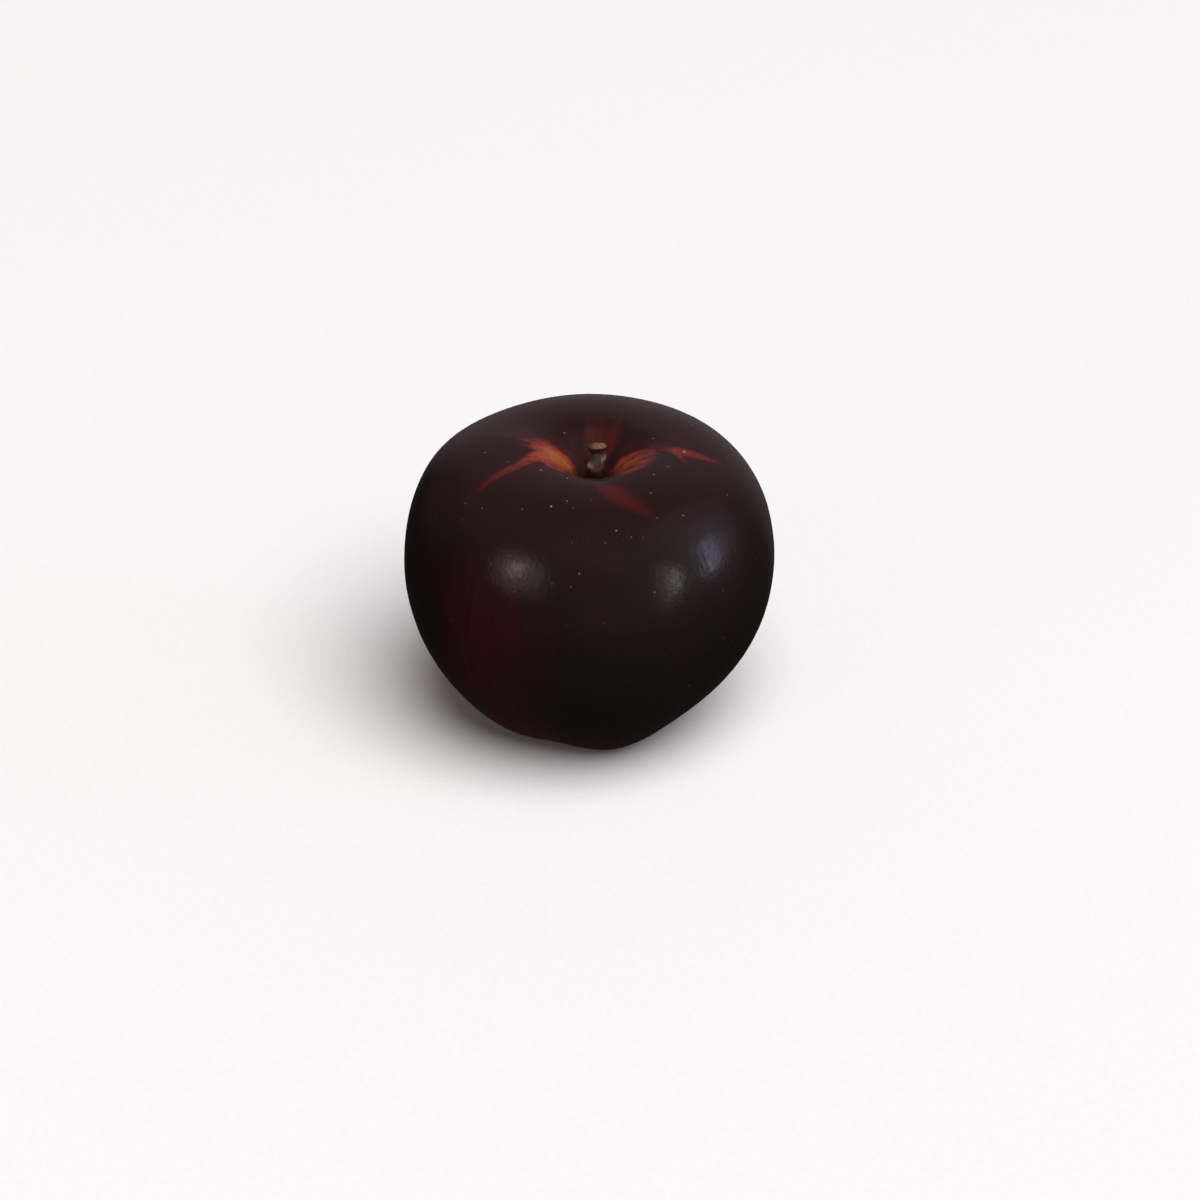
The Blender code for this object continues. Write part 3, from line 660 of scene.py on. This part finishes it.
def stem_material():
    t = Tree("stem_bark", IOR=1.5)
    bark, place = t.attribute("bark", "Vector"), t.attribute("place", "Vector")
    cut, ridge_glint, out, down = t.attribute("cut"), t.attribute("ridge_glint"), t.attribute("out"), t.attribute("down")
    fibre = t.noise(t.vector("MULTIPLY", bark, (7.0, 7.0, 0.9)), 1.0, 4.0, 0.6)
    fleck = t.noise(place, 3.2, 3.0, 0.6)
    blotch = t.noise(place, 0.9, 2.0, 0.5)
    wood = t.mix(t.step(fibre, 0.35, 0.68), (0.046, 0.0310, 0.0215), (0.110, 0.078, 0.060))
    wood = t.mix(t.math("MULTIPLY", t.step(down, 2.9, 3.9), 0.8), wood, t.mix(t.step(fibre, 0.35, 0.68), (0.066, 0.0260, 0.0220), (0.150, 0.068, 0.058)))
    # painted highlight: pale pinkish-grey glints on the ridges and lumps of the stalk
    wood = t.mix(t.math("MULTIPLY", t.step(t.math("ADD", ridge_glint, t.math("MULTIPLY", t.math("SUBTRACT", fleck, 0.5), 0.04)), 0.015, 0.075), 0.85),
                 wood, (0.230, 0.155, 0.140))
    # painted shadow: dark band on the stalk just under the flared cut end
    wood = t.mix(t.math("MULTIPLY", t.step(down, 2.1, 1.0), 0.74), wood, (0.016, 0.0080, 0.0060))
    # painted shade: the stalk turns dark olive where it sinks into the cavity
    wood = t.mix(t.math("MULTIPLY", t.step(down, 4.3, 5.7), 0.94), wood, (0.020, 0.0110, 0.0048))
    # the cut end: tan pith with olive stains, darker on one side and at its edge
    pith = t.mix(t.step(fleck, 0.40, 0.60), (0.088, 0.043, 0.015), (0.262, 0.155, 0.068))
    pith = t.mix(t.math("MULTIPLY", t.step(blotch, 0.42, 0.62), 0.50), pith, (0.150, 0.094, 0.020))
    pith = t.mix(t.math("MULTIPLY", t.step(out, 0.80, 0.98), 0.55), pith, (0.110, 0.052, 0.022))
    pith = t.mix(t.math("MULTIPLY", t.step(t.attribute("side"), -0.20, -0.62), 0.90), pith, (0.030, 0.024, 0.0105))
    colour = t.mix(cut, wood, pith)
    rough = t.math("ADD", t.math("MULTIPLY", cut, 0.28), t.line(fleck, 0.3, 0.7, 0.40, 0.56))
    height = t.math("ADD", t.math("MULTIPLY", fibre, 1.0), t.math("MULTIPLY", fleck, 0.7))
    return t.finish(Base_Color=colour, Roughness=rough, Normal=t.bump(height, 0.00006, 1.0))


grid, stem_fields, stem_vectors = stem_grid()
verts, faces, stem_fields, stem_vectors = grid_to_mesh(grid[::-1], {k: v[::-1] for k, v in stem_fields.items()},
                                                       {k: v[::-1] for k, v in stem_vectors.items()})
stem = new_piece("stem_stalk", verts, faces, stem_material(), stem_fields, stem_vectors)
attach(stem, "root")
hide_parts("stem")


# ============================================================ the dried flower
BASIN_FLOOR = BASIN_DEPTH - FLAT_SINK
SEPAL_LENGTH, SEPAL_WIDTH, SEPAL_THICKNESS, SEPAL_ROOT_R = 0.0062, 0.00215, 0.00030, 0.0021


def sepal_material():
    t = Tree("dry_sepal", IOR=1.5, Roughness=0.85)
    leaf, place = t.attribute("leaf", "Vector"), t.attribute("place", "Vector")
    rib = t.attribute("rib")
    fibre = t.noise(t.vector("MULTIPLY", leaf, (6.0, 1.4, 1.0)), 1.0, 4.0, 0.6)
    fuzz = t.noise(place, 6.0, 2.0, 0.6)
    colour = t.mix(t.step(fibre, 0.35, 0.68), (0.046, 0.026, 0.014), (0.175, 0.115, 0.066))
    colour = t.mix(t.math("MULTIPLY", rib, 0.6), colour, (0.210, 0.150, 0.090))
    colour = t.mix(t.math("MULTIPLY", t.step(fuzz, 0.52, 0.72), 0.5), colour, (0.300, 0.255, 0.200))
    height = t.math("ADD", t.math("MULTIPLY", fibre, 1.0), t.math("MULTIPLY", fuzz, 0.6))
    return t.finish(Base_Color=colour, Normal=t.bump(height, 0.00010, 1.0))


def sepal_piece(number, material):
    """A dry pointed leaf with a midrib: it leans in over the stamens, its edges
    roll and its tip curls out."""
    across, along = 25, 61
    v, u = np.meshgrid(np.linspace(-1, 1, across), np.linspace(0, 1, along), indexing="ij")
    curl = 0.85 + 0.30 * math.sin(2.3 * number)
    lean = 1.0 + 0.12 * math.cos(1.7 * number)
    reach = SEPAL_LENGTH * (0.93 + 0.07 * math.sin(3.1 * number))
    ragged = 1.0 + 0.05 * np.sin(17 * u + number) * smooth(0.1, 0.4, u) + 0.03 * np.sin(31 * u + 2.0 * number)
    half = 0.5 * SEPAL_WIDTH * (1.0 - u ** 1.5 * 0.93) * ragged
    radius = SEPAL_ROOT_R - 0.00075 * lean * np.sin(math.pi * np.minimum(u * 1.25, 1.0)) + 0.0017 * curl * u ** 3
    drop = reach * (0.72 * u + 0.06 * np.sin(math.pi * u))
    cup = 0.00022 * v ** 2 * (1.0 - u) - 0.00030 * v ** 2 * u * curl
    rib = np.exp(-(v / 0.13) ** 2) * (1.0 - u) ** 0.5
    veins = 0.00003 * np.cos(v * 9.0 + 2.0 * u) * (1.0 - u)
    x = radius - cup + 0.00012 * rib + veins + 0.00008 * np.sin(9 * u + 3 * v + number)
    y = half * v + 0.00018 * np.sin(3.2 * u + 1.3 * number) * u
    turn = LOBE_PHASE + (number - 0.5) * 2.0 * math.pi / LOBES
    points = np.stack([x * math.cos(turn) - y * math.sin(turn) + BASIN_X,
                       x * math.sin(turn) + y * math.cos(turn) + BASIN_Y,
                       -drop + BASIN_FLOOR - 0.0003 + 0.0003], axis=-1) + SHIFT
    down = np.gradient(points, axis=1)
    side = np.gradient(points, axis=0)
    out = np.cross(side, down)
    out /= np.linalg.norm(out, axis=-1, keepdims=True)
    thick = 0.5 * SEPAL_THICKNESS * (1.0 - 0.55 * np.abs(v) ** 3) * (1.0 - 0.5 * u)
    sheets = [points + out * thick[..., None], points - out * thick[..., None]]
    count = across * along
    index = np.arange(count).reshape(across, along)
    a, b, c, d = index[:-1, :-1], index[1:, :-1], index[1:, 1:], index[:-1, 1:]
    front = np.stack([a, b, c, d], axis=-1).reshape(-1, 4)
    back = np.stack([a, d, c, b], axis=-1).reshape(-1, 4) + count
    edge = np.concatenate([index[:, 0][::-1], index[0, 1:], index[1:, -1], index[-1, -2:0:-1]])
    after = np.roll(edge, -1)
    wall = np.stack([edge, after, after + count, edge + count], axis=-1)
    faces = np.concatenate([front, back, wall])
    verts = np.concatenate([s.reshape(-1, 3) for s in sheets])
    # outward faces: the signed volume tells which way round they are
    p = verts[faces]
    volume = (np.cross(p[:, 0], p[:, 1]) * p[:, 2]).sum() + (np.cross(p[:, 0], p[:, 2]) * p[:, 3]).sum()
    if volume < 0:
        faces = faces[:, ::-1]
    twice = [np.concatenate([f.ravel()] * 2) for f in (rib, u, v)]
    leaf = np.stack([twice[2], twice[1] * 3.0, np.full(2 * count, 1.7 * number)], axis=-1)
    piece = new_piece(f"dry_sepal_{number}", verts, faces.tolist(), material,
                      {"rib": twice[0]}, {"leaf": leaf, "place": verts * 1000.0}, sharp=60)
    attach(piece, "root")
    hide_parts(f"sepal_{number}")
    return piece


def strand(path, radii, sides):
    """Vertices and faces of one closed, tapered thread along a path (mm)."""
    path, radii = np.asarray(path, float), np.asarray(radii, float)
    tangent = np.gradient(path, axis=0)
    tangent /= np.linalg.norm(tangent, axis=1, keepdims=True)
    side = np.cross(tangent, (0.31, 0.95, 0.05))
    side /= np.linalg.norm(side, axis=1, keepdims=True)
    other = np.cross(tangent, side)
    turn = np.linspace(0, 2 * math.pi, sides, endpoint=False)
    rings = (path[:, None] + radii[:, None, None] * (np.cos(turn)[None, :, None] * side[:, None]
                                                     + np.sin(turn)[None, :, None] * other[:, None]))
    n = len(path)
    verts = np.concatenate([rings.reshape(-1, 3), path[:1], path[-1:]])
    faces = []
    for i in range(n - 1):
        for j in range(sides):
            k = (j + 1) % sides
            faces.append([i * sides + j, i * sides + k, (i + 1) * sides + k, (i + 1) * sides + j])
    for j in range(sides):
        k = (j + 1) % sides
        faces.append([n * sides, k, j])
        faces.append([n * sides + 1, (n - 1) * sides + j, (n - 1) * sides + k])
    return verts, faces


def stamen_piece():
    """The dried stamens round the five styles: thin bent threads with a small
    withered anther on each."""
    rng = np.random.RandomState(5)
    floor = np.array([BASIN_X, BASIN_Y, BASIN_FLOOR]) * 1000.0
    verts, faces, tone = [], [], []

    def add(path, radii, sides, value):
        v, f = strand(path, radii, sides)
        start = sum(len(x) for x in verts)
        verts.append(v)
        faces.extend([[start + i for i in face] for face in f])
        tone.append(np.full(len(v), value))

    for k in range(22):
        turn = 2 * math.pi * k / 22 + rng.uniform(-0.12, 0.12)
        root = 0.62 + 0.10 * rng.uniform(-1, 1)
        tip = 0.55 + 0.28 * rng.uniform(-1, 1)
        length = rng.uniform(1.9, 2.9)
        s = np.linspace(0, 1, 12)
        reach = root + (tip - root) * s + 0.22 * rng.uniform(-0.6, 1) * np.sin(math.pi * s)
        swing = turn + 0.5 * rng.uniform(-1, 1) * s ** 2
        path = floor + np.stack([reach * np.cos(swing), reach * np.sin(swing), 0.35 - (length + 0.35) * s], axis=-1)
        add(path, 0.055 * (1.15 - 0.45 * s), 7, rng.uniform(0, 1))
        end = path[-1]
        nod = np.array([0.16 * math.cos(swing[-1] + 1.2), 0.16 * math.sin(swing[-1] + 1.2), -0.18])
        s = np.linspace(-1, 1, 8)
        bean = end + s[:, None] * nod
        add(bean, 0.11 * np.sqrt(np.clip(1.02 - s ** 2, 0.02, 1)), 8, rng.uniform(0.3, 1))
    for k in range(5):
        turn = 2 * math.pi * (k + 0.3) / 5
        s = np.linspace(0, 1, 12)
        reach = 0.16 + 0.16 * s ** 2
        swing = turn + 0.8 * s
        path = floor + np.stack([reach * np.cos(swing), reach * np.sin(swing), 0.35 - 2.9 * s], axis=-1)
        add(path, 0.085 * (1.1 - 0.35 * s + 0.5 * smooth(0.85, 1.0, s)), 8, 0.15)
    verts = np.concatenate(verts) / 1000.0 + SHIFT
    t = Tree("dry_stamen", IOR=1.5, Roughness=0.88)
    place, shade = t.attribute("place", "Vector"), t.attribute("tone")
    fleck = t.noise(place, 5.0, 3.0, 0.6)
    colour = t.mix(shade, (0.030, 0.016, 0.009), (0.110, 0.066, 0.034))
    colour = t.mix(t.math("MULTIPLY", t.step(fleck, 0.45, 0.70), 0.6), colour, (0.165, 0.115, 0.070))
    material = t.finish(Base_Color=colour, Normal=t.bump(fleck, 0.00006, 1.0))
    piece = new_piece("dry_stamens", verts, faces, material, {"tone": np.concatenate(tone)}, {"place": verts * 1000.0})
    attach(piece, "root")
    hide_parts("stamen_tuft")
    return piece


sepal_finish = sepal_material()
for number in range(1, LOBES + 1):
    sepal_piece(number, sepal_finish)
stamen_piece()


# ===================================================== floor, backdrop, lights
def plain(name, colour, roughness=0.9):
    t = Tree(name, Roughness=roughness)
    return t.finish(Base_Color=colour)


def make_floor():
    t = Tree("floor_paper", Roughness=0.9)
    place = t.object_place()
    grain = t.noise(place, 900.0, 2.0, 0.5)
    t.finish(Base_Color=t.mix(t.step(grain, 0.3, 0.7), (0.855, 0.852, 0.845), (0.875, 0.873, 0.868)))
    rings, segments = 24, 96
    radius = 2.6 * (np.arange(1, rings + 1) / rings) ** 1.6
    turn = np.linspace(-math.pi, math.pi, segments, endpoint=False)
    R, T = np.meshgrid(radius, turn, indexing="ij")
    verts = np.concatenate([[[0, 0, 0]], np.stack([R * np.cos(T), R * np.sin(T), 0 * R], axis=-1).reshape(-1, 3)])
    index = 1 + np.arange(rings * segments).reshape(rings, segments)
    beside = np.roll(index, -1, axis=1)
    faces = np.stack([index[:-1], index[1:], beside[1:], beside[:-1]], axis=-1).reshape(-1, 4).tolist()
    faces += np.stack([np.zeros(segments, int), index[0], beside[0]], axis=-1).tolist()
    floor = new_piece("floor", verts, faces, t.material)
    # its light on the fruit comes from the bounce lamps, which are smoother
    floor.visible_glossy = floor.visible_diffuse = floor.visible_shadow = False
    return floor


def make_backdrop():
    """A pale wall all round, far outside, that only the camera sees."""
    material = bpy.data.materials.new("backdrop_paper")
    material.use_nodes = True
    tree = material.node_tree
    tree.nodes.remove(tree.nodes["Principled BSDF"])
    glow = tree.nodes.new("ShaderNodeEmission")
    glow.inputs["Color"].default_value = (0.83, 0.83, 0.825, 1.0)
    tree.links.new(glow.outputs[0], tree.nodes["Material Output"].inputs["Surface"])
    rings, segments = 24, 96
    rise = np.linspace(-0.02, math.pi / 2, rings)
    turn = np.linspace(-math.pi, math.pi, segments, endpoint=False)
    E, T = np.meshgrid(rise, turn, indexing="ij")
    verts = 2.6 * np.stack([np.cos(E) * np.cos(T), np.cos(E) * np.sin(T), np.sin(E)], axis=-1).reshape(-1, 3)
    index = np.arange(rings * segments).reshape(rings, segments)
    beside = np.roll(index, -1, axis=1)
    faces = np.stack([index[:-1], index[1:], beside[1:], beside[:-1]], axis=-1).reshape(-1, 4).tolist()
    wall = new_piece("backdrop", verts, faces, material)
    wall.visible_diffuse = wall.visible_glossy = wall.visible_transmission = False
    wall.visible_shadow = wall.visible_volume_scatter = False
    return wall


make_floor()
make_backdrop()


def towards(azimuth, elevation):
    a, e = math.radians(azimuth), math.radians(elevation)
    return Vector((math.cos(e) * math.cos(a), math.cos(e) * math.sin(a), math.sin(e)))


def soft_light(name, azimuth, elevation, width, height, radiance, colour=(1.0, 1.0, 1.0), distance=0.9, round_one=False):
    """An area light seen from the fruit at this azimuth and elevation; width
    and height are angles in degrees, radiance is relative to white paper."""
    data = bpy.data.lights.new(name, "AREA")
    data.shape = "ELLIPSE" if round_one else "RECTANGLE"
    data.size = 2.0 * distance * math.tan(math.radians(width) / 2.0)
    data.size_y = 2.0 * distance * math.tan(math.radians(height) / 2.0)
    area = data.size * data.size_y * (math.pi / 4.0 if round_one else 1.0)
    data.energy = radiance * math.pi * area
    data.color = colour
    lamp = bpy.data.objects.new(name, data)
    bpy.context.scene.collection.objects.link(lamp)
    centre = Vector((0.0, 0.0, 0.040))
    lamp.location = centre + towards(azimuth, elevation) * distance
    lamp.rotation_euler = (centre - lamp.location).to_track_quat("-Z", "Y").to_euler()
    return lamp


def sun_light(name, azimuth, elevation, spread, strength, colour=(1.0, 1.0, 1.0)):
    data = bpy.data.lights.new(name, "SUN")
    data.energy = strength
    data.angle = math.radians(spread)
    data.color = colour
    lamp = bpy.data.objects.new(name, data)
    bpy.context.scene.collection.objects.link(lamp)
    lamp.rotation_euler = (-towards(azimuth, elevation)).to_track_quat("-Z", "Y").to_euler()
    lamp.location = towards(azimuth, elevation) * 1.5
    lamp.visible_glossy = False
    return lamp


sun_light("overhead_diffuser", -60.0, 62.0, 50.0, 3.35)
sun_light("floor_bounce", -60.0, -42.0, 110.0, 1.35)
sun_light("floor_bounce_round", 120.0, -70.0, 110.0, 0.45)
soft_light("window_left", -133.6, 23.0, 6.5, 17.0, 4.3, (1.0, 0.79, 0.77), round_one=True)
soft_light("window_left_glow", -134.0, 21.5, 28.0, 40.0, 0.54, (1.0, 0.84, 0.84), distance=1.0, round_one=True)
soft_light("window_left_pane", -121.0, 15.0, 5.0, 26.0, 0.42, (1.0, 0.84, 0.84), distance=0.95)
soft_light("window_right", -41.2, 12.0, 8.5, 36.0, 0.82, (1.0, 0.90, 0.89), distance=0.95, round_one=True)
soft_light("window_right_bright", -34.9, 9.2, 2.8, 18.0, 7.7, (1.0, 0.91, 0.88), round_one=True)
soft_light("window_blue", -6.5, 11.5, 10.0, 22.0, 2.52, (0.60, 0.58, 1.0))
soft_light("window_blue_low", -9.5, 1.5, 13.0, 6.0, 1.2, (1.0, 0.84, 0.92))
soft_light("window_blue_glow", -3.0, 20.0, 28.0, 46.0, 0.20, (0.76, 0.80, 1.0), distance=1.0, round_one=True)
soft_light("window_blue_haze", 0.0, 31.0, 50.0, 72.0, 0.165, (0.82, 0.86, 1.0), distance=1.1, round_one=True)


def make_world():
    """Dim surroundings for the gloss: brighter overhead and behind."""
    world = bpy.data.worlds.new("room")
    bpy.context.scene.world = world
    world.use_nodes = True
    tree = world.node_tree
    back = tree.nodes["Background"]
    where = tree.nodes.new("ShaderNodeTexCoord").outputs["Generated"]

    def call(kind, operation, *inputs):
        node = tree.nodes.new(kind)
        node.operation = operation
        for socket, value in zip(node.inputs, inputs):
            if isinstance(value, bpy.types.NodeSocket):
                tree.links.new(value, socket)
            else:
                socket.default_value = value
        return node.outputs["Value"]

    def step(x, a, b, high):
        node = tree.nodes.new("ShaderNodeMapRange")
        node.interpolation_type = "SMOOTHSTEP"
        tree.links.new(x, node.inputs["Value"])
        for key, value in (("From Min", a), ("From Max", b), ("To Min", 0.0), ("To Max", high)):
            node.inputs[key].default_value = value
        return node.outputs["Result"]

    up = call("ShaderNodeVectorMath", "DOT_PRODUCT", where, (0.0, 0.0, 1.0))
    behind = call("ShaderNodeVectorMath", "DOT_PRODUCT", where, tuple(towards(77.0, 15.0)))
    front = call("ShaderNodeVectorMath", "DOT_PRODUCT", where, tuple(towards(-45.0, -12.0)))
    left = call("ShaderNodeVectorMath", "DOT_PRODUCT", where, tuple(towards(148.0, 28.0)))
    low = call("ShaderNodeMath", "MULTIPLY", step(front, 0.10, 0.90, 0.085), step(up, -0.50, -0.05, 1.0))
    level = call("ShaderNodeMath", "ADD", step(up, 0.30, 0.90, 0.115), 0.015)
    level = call("ShaderNodeMath", "ADD", level, step(behind, 0.60, 1.00, 0.20))
    level = call("ShaderNodeMath", "ADD", level, step(left, 0.70, 1.00, 0.055))
    level = call("ShaderNodeMath", "ADD", level, low)
    tree.links.new(level, back.inputs["Strength"])
    # the sky over the back is redder than the rest
    aft = call("ShaderNodeVectorMath", "DOT_PRODUCT", where, (0.0, 1.0, 0.0))
    tint = tree.nodes.new("ShaderNodeMix")
    tint.data_type = "RGBA"
    tree.links.new(call("ShaderNodeMath", "MULTIPLY", step(up, 0.10, 0.35, 1.0), step(aft, 0.20, 0.60, 1.0)), tint.inputs[0])
    tint.inputs[6].default_value = (1.0, 0.79, 0.84, 1.0)
    tint.inputs[7].default_value = (1.03, 0.68, 0.73, 1.0)
    tree.links.new(tint.outputs[2], back.inputs["Color"])


make_world()


# ==================================================================== camera
def make_camera():
    e = math.radians(CAMERA_ELEVATION)
    ahead = Vector((0.0, math.cos(e), -math.sin(e)))
    upward = Vector((0.0, math.sin(e), math.cos(e)))
    aim = (CAMERA_AIM[0] * Vector((1.0, 0.0, 0.0)) + CAMERA_AIM[1] * upward + Vector((0.0, 0.0, CAMERA_AIM[2]))
           + Vector(SHIFT.tolist()))
    data = bpy.data.cameras.new("camera")
    data.sensor_width = 36.0
    data.sensor_fit = "HORIZONTAL"
    data.lens = CAMERA_LENS
    data.clip_start, data.clip_end = 0.01, 20.0
    data.dof.use_dof = False
    camera = bpy.data.objects.new("camera", data)
    bpy.context.scene.collection.objects.link(camera)
    camera.location = aim - ahead * CAMERA_DISTANCE
    camera.rotation_euler = (math.pi / 2.0 - e, 0.0, 0.0)
    bpy.context.scene.camera = camera


make_camera()
bpy.context.scene.view_settings.view_transform = "Standard"
